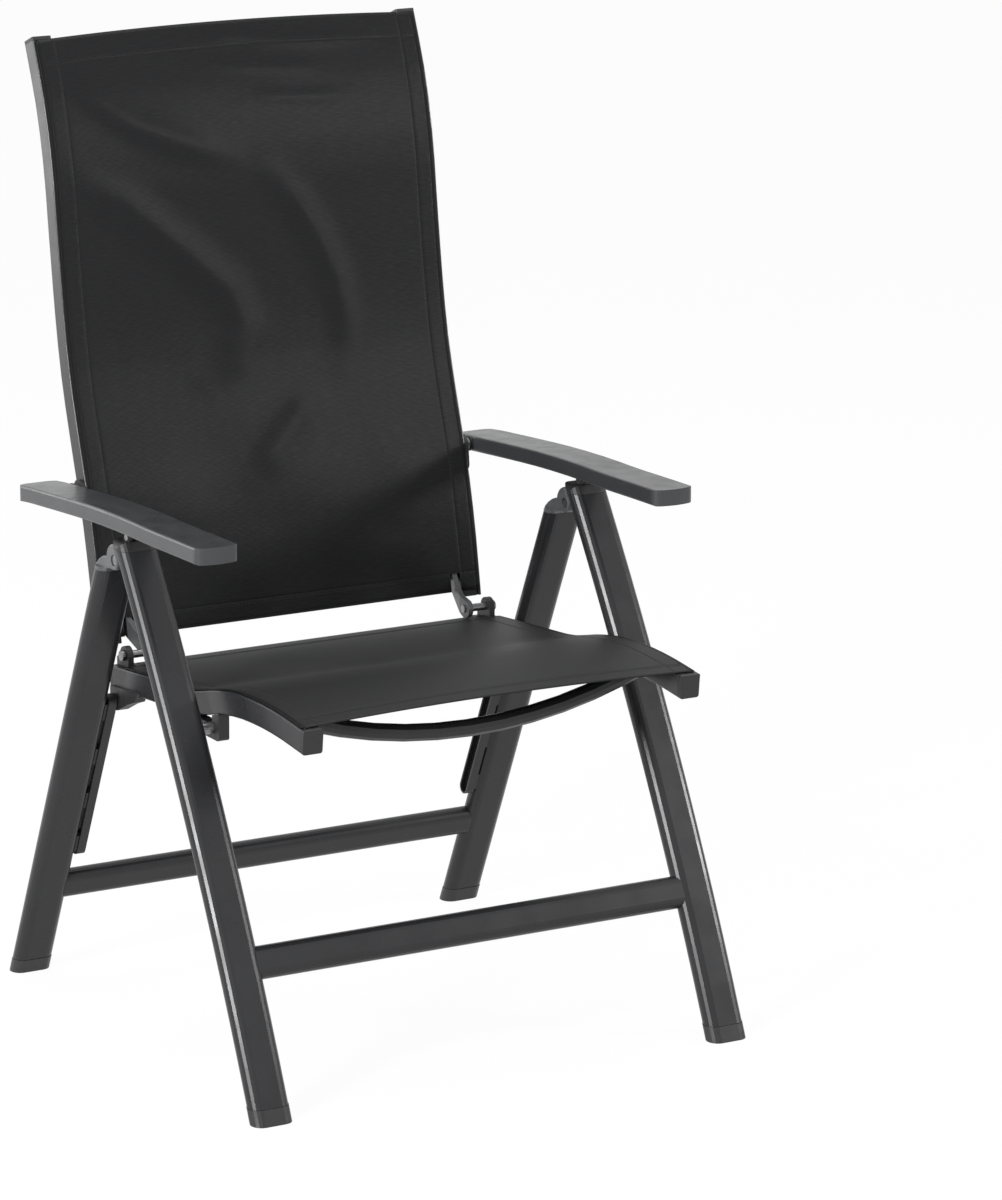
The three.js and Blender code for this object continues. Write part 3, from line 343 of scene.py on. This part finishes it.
def makeWeave(name, look):
    finish, tree, shader = newFinish(name)
    flat = tree.nodes.new("ShaderNodeUVMap")
    flat.uv_map = "clothMetres"
    axes = tree.nodes.new("ShaderNodeSeparateXYZ")
    tree.links.new(flat.outputs[0], axes.inputs[0])
    across = waveAlong(tree, axes.outputs[0], look["thread"] * 2)
    along = waveAlong(tree, axes.outputs[1], look["thread"] * 2)
    height = mathNode(tree, "ABSOLUTE", mathNode(tree, "MULTIPLY", across, along))
    # thread height sets the tone: pits get painted shade, crests painted light
    pitShadeAndCrestLight = mapRange(tree, height, (0, look["crest"]), (1 - look["pitShadeShare"], look["crestLightTone"]))
    stretch = tree.nodes.new("ShaderNodeVectorMath")
    stretch.operation = "MULTIPLY"
    stretch.inputs[1].default_value = look["slubScale"]
    tree.links.new(flat.outputs[0], stretch.inputs[0])
    slub = noiseAt(tree, stretch.outputs[0], 1.0)
    tone = mathNode(tree, "MULTIPLY", pitShadeAndCrestLight, swingRound(tree, slub, 1, look["slubShare"]))
    tree.links.new(tinted(tree, look["color"], tone), shader.inputs["Base Color"])
    gloss = swingRound(tree, slub, look["roughness"], look["roughnessSwing"])
    tree.links.new(gloss, shader.inputs["Roughness"])
    shader.inputs["Specular IOR Level"].default_value = look["specular"]
    addBump(tree, shader, height, look["bump"], look["threadHeight"])
    return finish


def makeThread(name, look):
    finish, tree, shader = newFinish(name)
    place = tree.nodes.new("ShaderNodeTexCoord").outputs["Object"]
    twist = noiseAt(tree, place, look["twist"])
    tone = mapRange(tree, twist, noiseBand, look["tone"])
    tree.links.new(tinted(tree, look["color"], tone), shader.inputs["Base Color"])
    shader.inputs["Roughness"].default_value = look["roughness"]
    shader.inputs["Specular IOR Level"].default_value = look["specular"]
    addBump(tree, shader, twist, look["bump"], look["twistHeight"])
    return finish


finishes = {
    "frame_paint": makeFinish("powderCoat", powderCoat),
    "hinge_casting": makeFinish("castGrey", castGrey),
    "black_plastic": makeFinish("mouldedBlack", mouldedBlack),
    "armrest_plastic": makeFinish("armrestGrey", armrestGrey),
    "steel": makeFinish("zincPlate", zincPlate),
}
# nodes whose finish differs from the rest of their slot
ownFinishes = {
    # the back hinge bracket gets the cast finish darkened as painted shade
    "back_hinge_bracket": makeFinish("castPaintedShade", castPaintedShade),
    # the rear feet get the powder coat lightened as painted light
    "rear_foot": makeFinish("footLitGrey", footLitGrey),
}
meshCloth = makeWeave("wovenMesh", wovenMesh)
litSeatMesh = makeWeave("wovenMeshSeatLit", litSeatWeave)
seamThread = makeThread("sewingThread", sewingThread)
slotShadeBlack = makeFinish("slotShadeBlack", slotShadeLook)


# faces that meet at less than the angle are shaded as one; the armrests' own edges are rounded as well
smoothing = {
    "angle": 32.0,
    "armrests": ("armrest_left", "armrest_right"),
    "armrestEdge": 0.0045, "armrestSegments": 4, "armrestCorner": 40,
}


def smoothByAngle(degrees):
    group = bpy.data.node_groups.new("smoothByAngle", "GeometryNodeTree")
    group.interface.new_socket("Geometry", in_out="INPUT", socket_type="NodeSocketGeometry")
    group.interface.new_socket("Geometry", in_out="OUTPUT", socket_type="NodeSocketGeometry")
    start = group.nodes.new("NodeGroupInput")
    end = group.nodes.new("NodeGroupOutput")
    corner = group.nodes.new("GeometryNodeInputMeshEdgeAngle")
    flatEnough = group.nodes.new("FunctionNodeCompare")
    flatEnough.data_type = "FLOAT"
    flatEnough.operation = "LESS_THAN"
    flatEnough.inputs["B"].default_value = math.radians(degrees)
    group.links.new(corner.outputs["Unsigned Angle"], flatEnough.inputs["A"])
    edges = group.nodes.new("GeometryNodeSetShadeSmooth")
    edges.domain = "EDGE"
    faces = group.nodes.new("GeometryNodeSetShadeSmooth")
    faces.domain = "FACE"
    group.links.new(start.outputs[0], edges.inputs["Geometry"])
    group.links.new(flatEnough.outputs["Result"], edges.inputs["Shade Smooth"])
    group.links.new(edges.outputs[0], faces.inputs["Geometry"])
    group.links.new(faces.outputs[0], end.inputs[0])
    return group


def finishOf(part):
    for start, finish in ownFinishes.items():
        if part.name.startswith(start):
            return finish
    for slot, finish in finishes.items():
        for material in part.data.materials:
            if material and material.name.startswith(slot):
                return finish
    return None


smoother = smoothByAngle(smoothing["angle"])
for name, part in nodes.items():
    finish = finishOf(part)
    if finish is None:
        continue
    part.data.materials.clear()
    part.data.materials.append(finish)
    if name in smoothing["armrests"]:
        rounding = part.modifiers.new("roundEdges", "BEVEL")
        rounding.width = smoothing["armrestEdge"]
        rounding.segments = smoothing["armrestSegments"]
        rounding.limit_method = "ANGLE"
        rounding.angle_limit = math.radians(smoothing["armrestCorner"])
    soften = part.modifiers.new("smoothByAngle", "NODES")
    soften.node_group = smoother
print("hard pieces finished")


# slings: one strip of cloth each, its side hems locked in the rails' channels
slingCloth = {
    "halfWidth": 0.2412,
    "cloth": 0.0008, "hemCloth": 0.00035, "hemRise": 0.00015,
    "sideHem": 0.020,
    "beadDepth": 0.0057, "beadRadius": 0.0020,
}
seatCloth = {
    **slingCloth,
    "node": "seat_sling", "name": "seatCloth", "body": "seat", "look": "down",
    "probeX": 0.2,                         # where the strip's level is read
    "nearEdge": -0.3210, "farEdge": 0.1229,
    "nearScoop": 0.013, "farScoop": 0.0,   # the edges' bows in the middle
    "cutouts": [
        # x from, x to, along from, along to; the same on both sides
        (0.2300, 0.2500, 0.1055, 0.1300),
    ],
    "step": 0.0045,
    "nearHem": 0.024, "farHem": 0.024,
    "folds": [
        # height, width, points (x, along)
        (-0.0006, 0.040, [(-0.215, -0.085), (-0.120, -0.035), (-0.030, 0.020)]),
        (-0.0006, 0.045, [(-0.150, 0.070), (-0.060, -0.040), (0.030, -0.120)]),
        (0.0006, 0.050, [(0.080, -0.230), (0.120, -0.080), (0.150, 0.060)]),
    ],
}
backCloth = {
    **slingCloth,
    "node": "back_sling", "name": "backCloth", "body": "back", "look": "back",
    "probeX": 0.0,
    "nearEdge": 0.4196, "farEdge": 1.0812,
    "nearScoop": 0.0, "farScoop": 0.0061,
    "cutouts": [(0.2065, 0.2200, 0.4100, 0.4410)],
    "step": 0.0050,
    "nearHem": 0.022, "farHem": 0.028,
    "folds": [
        (0.0038, 0.020, [
            (-0.219, 0.925), (-0.160, 0.895), (-0.095, 0.840), (-0.035, 0.785),
            (-0.020, 0.745), (-0.040, 0.712), (-0.076, 0.690),
        ]),
        (0.0031, 0.016, [(-0.219, 1.042), (-0.180, 1.012), (-0.138, 0.982), (-0.080, 0.958), (-0.020, 0.938)]),
        (0.0034, 0.017, [
            (0.030, 0.915), (0.060, 0.880), (0.084, 0.838), (0.104, 0.790), (0.112, 0.745), (0.104, 0.690),
        ]),
        (0.0027, 0.017, [(0.058, 0.655), (0.030, 0.636), (0.004, 0.612), (-0.032, 0.574)]),
        (0.0012, 0.007, [(-0.060, 1.066), (0.010, 1.070), (0.090, 1.058), (0.180, 1.056)]),
        (0.0013, 0.0065, [(0.010, 1.003), (0.070, 0.998), (0.150, 0.996)]),
        (0.0011, 0.0065, [(-0.040, 1.040), (0.040, 1.034), (0.110, 1.028)]),
        (0.0010, 0.030, [(0.130, 0.640), (0.160, 0.560), (0.150, 0.490)]),
        (-0.0014, 0.050, [(-0.120, 0.640), (-0.060, 0.560), (0.040, 0.500)]),
    ],
}
# how the outer face of the CAD strip is read
reading = {
    "rayStart": 1.5, "stations": 240, "rounds": 12,
    "nearInset": 0.002, "farInset": 0.001,
    "slopeReach": 0.004, "endRun": 3,
}
# folds fade over their ends, and die out beside the rails
foldShape = {"endShare": 0.25, "endHeight": 0.25, "calmWidth": 0.045}
# a seam is a narrow dip with close lines of the mesh round it
seam = {"dip": 0.00035, "halfWidth": 0.0008, "lines": (-0.0014, -0.0006, 0, 0.0006, 0.0014), "leastGap": 0.0004}
hemSlope = 0.0015
# the cloth's way down a channel and round its bead
channel = {
    "outset": 0.0008, "wall": 0.0006,
    "rimShare": 0.6, "rimDepth": 0.0003, "neckTop": 0.0012, "neckFoot": 0.0020,
    "beadSteps": 12,
}
# a black strip along each side hem's channel: painted shade for the shadow in the channel's mouth, showing as a
# thin rounded line
slotShade = {
    "middleX": 0.2419, "halfWidth": 0.0026, "rise": 0.0004, "sink": 0.0002, "seatDepth": 0.0012,
    "footX": 0.0012, "footDepth": 0.0009, "endGap": 0.0008,
    "stations": 110, "arcSteps": 8,
}
stitch = {
    "pitch": 0.0042, "length": 0.0028, "radius": 0.00032, "sides": 6,
    "sections": ((-0.42, 0.55), (-0.2, 1.0), (0.2, 1.0), (0.42, 0.55)),   # shares of length and radius
    "proud": 0.5, "lookAhead": 0.001,
    "rowGap": 0.0035,                      # between the two rows of an end hem
    "hemInset": 0.003, "hemRuns": 24, "sideInset": 0.004, "sideRuns": 40,
}


def clothLevel(spec):
    # the strip's outer face on the CAD piece, as a smooth line along the rails
    part = nodes[spec["node"]]
    tree = BVHTree.FromPolygons(
        [vertex.co.copy() for vertex in part.data.vertices],
        [polygon.vertices[:] for polygon in part.data.polygons],
    )
    first = spec["nearEdge"] + reading["nearInset"]
    last = spec["farEdge"] + spec["farScoop"] - reading["farInset"]
    places, levels = [], []
    for i in range(reading["stations"] + 1):
        along = first + (last - first) * i / reading["stations"]
        if spec["look"] == "down":
            hit = tree.ray_cast(Vector((spec["probeX"], along, reading["rayStart"])), Vector((0, 0, -1)))[0]
        else:
            hit = tree.ray_cast(Vector((spec["probeX"], -reading["rayStart"], along)), Vector((0, 1, 0)))[0]
        if hit is None:
            continue
        places.append(along)
        levels.append(hit.z if spec["look"] == "down" else hit.y)
    for turn in range(reading["rounds"]):           # rounds off the CAD strip's stations
        between = [(a + 2 * b + c) / 4 for a, b, c in zip(levels, levels[1:], levels[2:])]
        levels = [levels[0]] + between + [levels[-1]]

    def level(along):
        run = reading["endRun"]
        if along <= places[0]:
            slope = (levels[run] - levels[0]) / (places[run] - places[0])
            return levels[0] + slope * (along - places[0])
        if along >= places[-1]:
            slope = (levels[-1] - levels[-1 - run]) / (places[-1] - places[-1 - run])
            return levels[-1] + slope * (along - places[-1])
        share = (along - places[0]) / (places[-1] - places[0]) * (len(places) - 1)
        i = min(int(share), len(places) - 2)
        share -= i
        return levels[i] * (1 - share) + levels[i + 1] * share

    return level


def clothPoint(spec, level, x, along):
    reach = reading["slopeReach"]
    slope = (level(along + reach) - level(along - reach)) / (2 * reach)
    if spec["look"] == "down":
        return Vector((x, along, level(along))), Vector((0, -slope, 1)).normalized()
    return Vector((x, level(along), along)), Vector((0, -1, slope)).normalized()


def smoothStep(value):
    value = min(max(value, 0), 1)
    return value * value * (3 - 2 * value)


def foldHeight(spec, x, along):
    total = 0
    here = Vector((x, along))
    for height, width, points in spec["folds"]:
        best, bestShare = math.inf, 0
        runs = len(points) - 1
        for i in range(runs):
            start, end = Vector(points[i]), Vector(points[i + 1])
            run = end - start
            share = min(max((here - start).dot(run) / run.length_squared, 0), 1)
            away = (here - start - run * share).length
            if away < best:
                best, bestShare = away, (i + share) / runs
        ends = foldShape["endShare"]
        fade = smoothStep(bestShare / ends) * smoothStep((1 - bestShare) / ends)
        full = foldShape["endHeight"] + (1 - foldShape["endHeight"]) * fade
        total += height * full * math.exp(-(best / width) ** 2)
    return total * smoothStep((spec["halfWidth"] - abs(x)) / foldShape["calmWidth"])


def linesBetween(low, high, step, seams):
    count = max(2, round((high - low) / step))
    lines = [low + (high - low) * i / count for i in range(count + 1)]
    lines += [place + offset for place in seams for offset in seam["lines"]]
    lines = sorted(line for line in lines if low <= line <= high)
    kept = [lines[0]]
    for line in lines[1:]:
        if line - kept[-1] > seam["leastGap"]:
            kept.append(line)
    kept[-1] = high
    return kept


def edgesAt(spec, x):
    bow = 1 - (x / spec["halfWidth"]) ** 2
    return spec["nearEdge"] + spec["nearScoop"] * bow, spec["farEdge"] + spec["farScoop"] * bow


def clothLift(spec, x, along):
    # how far the cloth's outer face stands off the level, and its thickness
    near, far = edgesAt(spec, x)
    toSeams = [
        along - near - spec["nearHem"],
        far - along - spec["farHem"],
        spec["halfWidth"] - abs(x) - spec["sideHem"],
    ]
    inHem = max(smoothStep(0.5 - toSeam / hemSlope) for toSeam in toSeams)
    lift = foldHeight(spec, x, along) + spec["hemRise"] * inHem
    for toSeam in toSeams:
        lift -= seam["dip"] * math.exp(-((toSeam / seam["halfWidth"]) ** 2))
    return lift, spec["cloth"] + spec["hemCloth"] * inHem


def inCutout(spec, x, along):
    return any(a < abs(x) < b and c < along < d for a, b, c, d in spec["cutouts"])


def clothLines(spec):
    # the mesh's lines: columns are places in x, rows are distances from the near edge
    half = spec["halfWidth"]
    near, far = edgesAt(spec, half)
    span = far - near
    columns = linesBetween(-half, half, spec["step"], [-half + spec["sideHem"], half - spec["sideHem"]])
    rows = linesBetween(0, span, spec["step"], [spec["nearHem"], span - spec["farHem"]])
    for fromX, toX, fromAlong, toAlong in spec["cutouts"]:
        borders = [fromX, min(toX, half)]
        columns += borders + [-border for border in borders]
        rows += [edge - near for edge in (fromAlong, toAlong) if 0 < edge - near < span]
    return sorted(set(columns)), sorted(set(rows)), near, span


def addFace(mesh, sheet, corners, placeOf):
    made = mesh.faces.new(corners)
    made.smooth = True
    for loop in made.loops:
        loop[sheet].uv = placeOf(loop.vert)


def toObject(mesh, name):
    bmesh.ops.recalc_face_normals(mesh, faces=mesh.faces)
    data = bpy.data.meshes.new(name)
    mesh.to_mesh(data)
    mesh.free()
    made = bpy.data.objects.new(name, data)
    bpy.context.scene.collection.objects.link(made)
    return made


def buildCloth(spec):
    level = clothLevel(spec)
    columns, rows, near, span = clothLines(spec)
    mesh = bmesh.new()
    sheet = mesh.loops.layers.uv.new("clothMetres")
    runs = [0.0]
    for a, b in zip(rows, rows[1:]):
        runs.append(runs[-1] + math.hypot(b - a, level(near + b) - level(near + a)))
    outer, inner, flat = {}, {}, {}
    for i, x in enumerate(columns):
        low, high = edgesAt(spec, x)
        for j, row in enumerate(rows):
            along = low + (high - low) * row / span
            point, normal = clothPoint(spec, level, x, along)
            lift, thick = clothLift(spec, x, along)
            outer[i, j] = mesh.verts.new(point + normal * lift)
            inner[i, j] = mesh.verts.new(point + normal * (lift - thick))
            flat[outer[i, j]] = flat[inner[i, j]] = (x, runs[j])
    keptCells = set()
    for i in range(len(columns) - 1):
        for j in range(len(rows) - 1):
            x = (columns[i] + columns[i + 1]) / 2
            low, high = edgesAt(spec, x)
            along = low + (high - low) * (rows[j] + rows[j + 1]) / 2 / span
            if not inCutout(spec, x, along):
                keptCells.add((i, j))

    def face(*corners):
        addFace(mesh, sheet, corners, flat.get)

    for i, j in keptCells:
        face(outer[i, j], outer[i + 1, j], outer[i + 1, j + 1], outer[i, j + 1])
        face(inner[i, j + 1], inner[i + 1, j + 1], inner[i + 1, j], inner[i, j])
        if (i, j - 1) not in keptCells:
            face(inner[i, j], inner[i + 1, j], outer[i + 1, j], outer[i, j])
        if (i, j + 1) not in keptCells:
            face(outer[i, j + 1], outer[i + 1, j + 1], inner[i + 1, j + 1], inner[i, j + 1])
        if (i - 1, j) not in keptCells and i > 0:
            face(inner[i, j + 1], inner[i, j], outer[i, j], outer[i, j + 1])
        if (i + 1, j) not in keptCells and i < len(columns) - 2:
            face(outer[i + 1, j + 1], outer[i + 1, j], inner[i + 1, j], inner[i + 1, j + 1])
    # the side hems turn down into the channels, round their beads
    for side, i, cell in ((-1, 0, 0), (1, len(columns) - 1, len(columns) - 2)):
        cells = [j for j in range(len(rows) - 1) if (cell, j) in keptCells]
        edge = [(near + rows[j], outer[i, j], inner[i, j]) for j in cells + [cells[-1] + 1]]
        turnDown(mesh, sheet, spec, level, side, edge)
    loose = [vertex for vertex in mesh.verts if not vertex.link_faces]
    bmesh.ops.delete(mesh, geom=loose, context="VERTS")
    return toObject(mesh, spec["name"]), level


def turnDown(mesh, sheet, spec, level, side, edge):
    # the section goes from the cloth's outer corner, down the neck, round the bead and up again
    radius, wall = spec["beadRadius"], channel["wall"]
    middle = spec["halfWidth"] + channel["outset"]
    neck = math.asin(wall / radius)
    section = [
        (middle + wall * channel["rimShare"], -channel["rimDepth"]),
        (middle + wall, -channel["neckTop"]),
    ]
    for k in range(channel["beadSteps"] + 1):
        angle = math.pi / 2 - neck - (2 * math.pi - 2 * neck) * k / channel["beadSteps"]
        section.append((middle + radius * math.cos(angle), -spec["beadDepth"] + radius * math.sin(angle)))
    section.append((middle - wall, -channel["neckFoot"]))
    rings = []
    for along, top, under in edge:
        point, normal = clothPoint(spec, level, side * spec["halfWidth"], along)
        turned = [
            mesh.verts.new(Vector((side * x, point.y, point.z)) + normal * depth) for x, depth in section
        ]
        rings.append([top] + turned + [under])

    def face(corners):
        addFace(mesh, sheet, corners, lambda vertex: (vertex.co.x, vertex.co.y + vertex.co.z))

    for a, b in zip(rings, rings[1:]):
        for k in range(len(a) - 1):
            face((a[k], a[k + 1], b[k + 1], b[k]))
    face(rings[0][::-1])
    face(rings[-1])


def joinRings(mesh, rings):
    made = []
    for a, b in zip(rings, rings[1:]):
        for k in range(len(a)):
            after = (k + 1) % len(a)
            made.append(mesh.faces.new((a[k], a[after], b[after], b[k])))
    return made


# the strips of painted shade, one along each side hem's channel
def buildSlotShade(spec, level):
    mesh = bmesh.new()
    near, far = edgesAt(spec, spec["halfWidth"])
    first, last = near + slotShade["endGap"], far - slotShade["endGap"]
    for fromX, toX, fromAlong, toAlong in spec["cutouts"]:
        if fromX < slotShade["middleX"] < toX:
            last = min(last, fromAlong - slotShade["endGap"])
    for side in (-1, 1):
        rings = []
        for k in range(slotShade["stations"] + 1):
            along = first + (last - first) * k / slotShade["stations"]
            point, normal = clothPoint(spec, level, side * slotShade["middleX"], along)
            ring = []
            for n in range(slotShade["arcSteps"] + 1):
                angle = math.pi * n / slotShade["arcSteps"]
                out = Vector((side * slotShade["halfWidth"] * math.cos(angle), 0, 0))
                depth = slotShade["seatDepth"] if n == 0 else slotShade["sink"]
                height = (slotShade["rise"] + slotShade["sink"]) * math.sin(angle) - depth
                ring.append(mesh.verts.new(point + out + normal * height))
            foot = Vector((-side * slotShade["footX"], 0, 0))
            ring.append(mesh.verts.new(point + foot - normal * slotShade["footDepth"]))
            rings.append(ring)
        for made in joinRings(mesh, rings):
            made.smooth = True
        mesh.faces.new(rings[0])
        mesh.faces.new(rings[-1][::-1])
    return toObject(mesh, spec["name"] + "SlotShades")


def stitchRow(mesh, spec, level, points):
    # one stitch after another along a line of (x, along) points
    travelled, nextStitch = 0.0, stitch["pitch"] / 2
    for (x0, a0), (x1, a1) in zip(points, points[1:]):
        length = math.hypot(x1 - x0, a1 - a0)
        aheadX = (x1 - x0) / length * stitch["lookAhead"]
        aheadAlong = (a1 - a0) / length * stitch["lookAhead"]
        while nextStitch <= travelled + length:
            share = (nextStitch - travelled) / length
            x, along = x0 + (x1 - x0) * share, a0 + (a1 - a0) * share
            nextStitch += stitch["pitch"]
            if inCutout(spec, x, along):
                continue
            point, normal = clothPoint(spec, level, x, along)
            lift = clothLift(spec, x, along)[0]
            ahead = clothPoint(spec, level, x + aheadX, along + aheadAlong)[0]
            middle = point + normal * (lift + stitch["radius"] * stitch["proud"])
            addStitch(mesh, middle, (ahead - point).normalized(), normal)
        travelled += length


def addStitch(mesh, middle, run, normal):
    sides = stitch["sides"]
    beside = run.cross(normal)
    rings = []
    for share, swell in stitch["sections"]:
        ring = []
        for k in range(sides):
            angle = 2 * math.pi * k / sides
            out = (beside * math.cos(angle) + normal * math.sin(angle)) * stitch["radius"] * swell
            ring.append(mesh.verts.new(middle + run * stitch["length"] * share + out))
        rings.append(ring)
    start = mesh.verts.new(middle - run * stitch["length"] / 2 - normal * stitch["radius"])
    end = mesh.verts.new(middle + run * stitch["length"] / 2 - normal * stitch["radius"])
    joinRings(mesh, rings)
    for k in range(sides):
        mesh.faces.new((rings[0][(k + 1) % sides], rings[0][k], start))
        mesh.faces.new((rings[-1][k], rings[-1][(k + 1) % sides], end))


def buildStitches(spec, level):
    mesh = bmesh.new()
    half = spec["halfWidth"]
    end = half - stitch["hemInset"]
    across = [-end + 2 * end * i / stitch["hemRuns"] for i in range(stitch["hemRuns"] + 1)]
    for offset in (0, stitch["rowGap"]):
        nearRow = [(x, edgesAt(spec, x)[0] + spec["nearHem"] - offset) for x in across]
        farRow = [(x, edgesAt(spec, x)[1] - spec["farHem"] + offset) for x in across]
        stitchRow(mesh, spec, level, nearRow)
        stitchRow(mesh, spec, level, farRow)
    near, far = edgesAt(spec, half)
    first, last = near + stitch["sideInset"], far - stitch["sideInset"]
    for side in (-1, 1):
        x = side * (half - spec["sideHem"])
        row = [(x, first + (last - first) * i / stitch["sideRuns"]) for i in range(stitch["sideRuns"] + 1)]
        stitchRow(mesh, spec, level, row)
    for made in mesh.faces:
        made.smooth = True
    return toObject(mesh, spec["name"] + "Stitches")


def makeSling(spec, finish):
    cloth, level = buildCloth(spec)
    cloth.data.materials.append(finish)
    rows = buildStitches(spec, level)
    rows.data.materials.append(seamThread)
    slotShades = buildSlotShade(spec, level)
    slotShades.data.materials.append(slotShadeBlack)
    for piece in (cloth, rows, slotShades):
        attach(piece, spec["body"])
    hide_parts(spec["node"])
    print(spec["name"], "made:", len(cloth.data.polygons), "faces")


makeSling(seatCloth, litSeatMesh)
makeSling(backCloth, meshCloth)
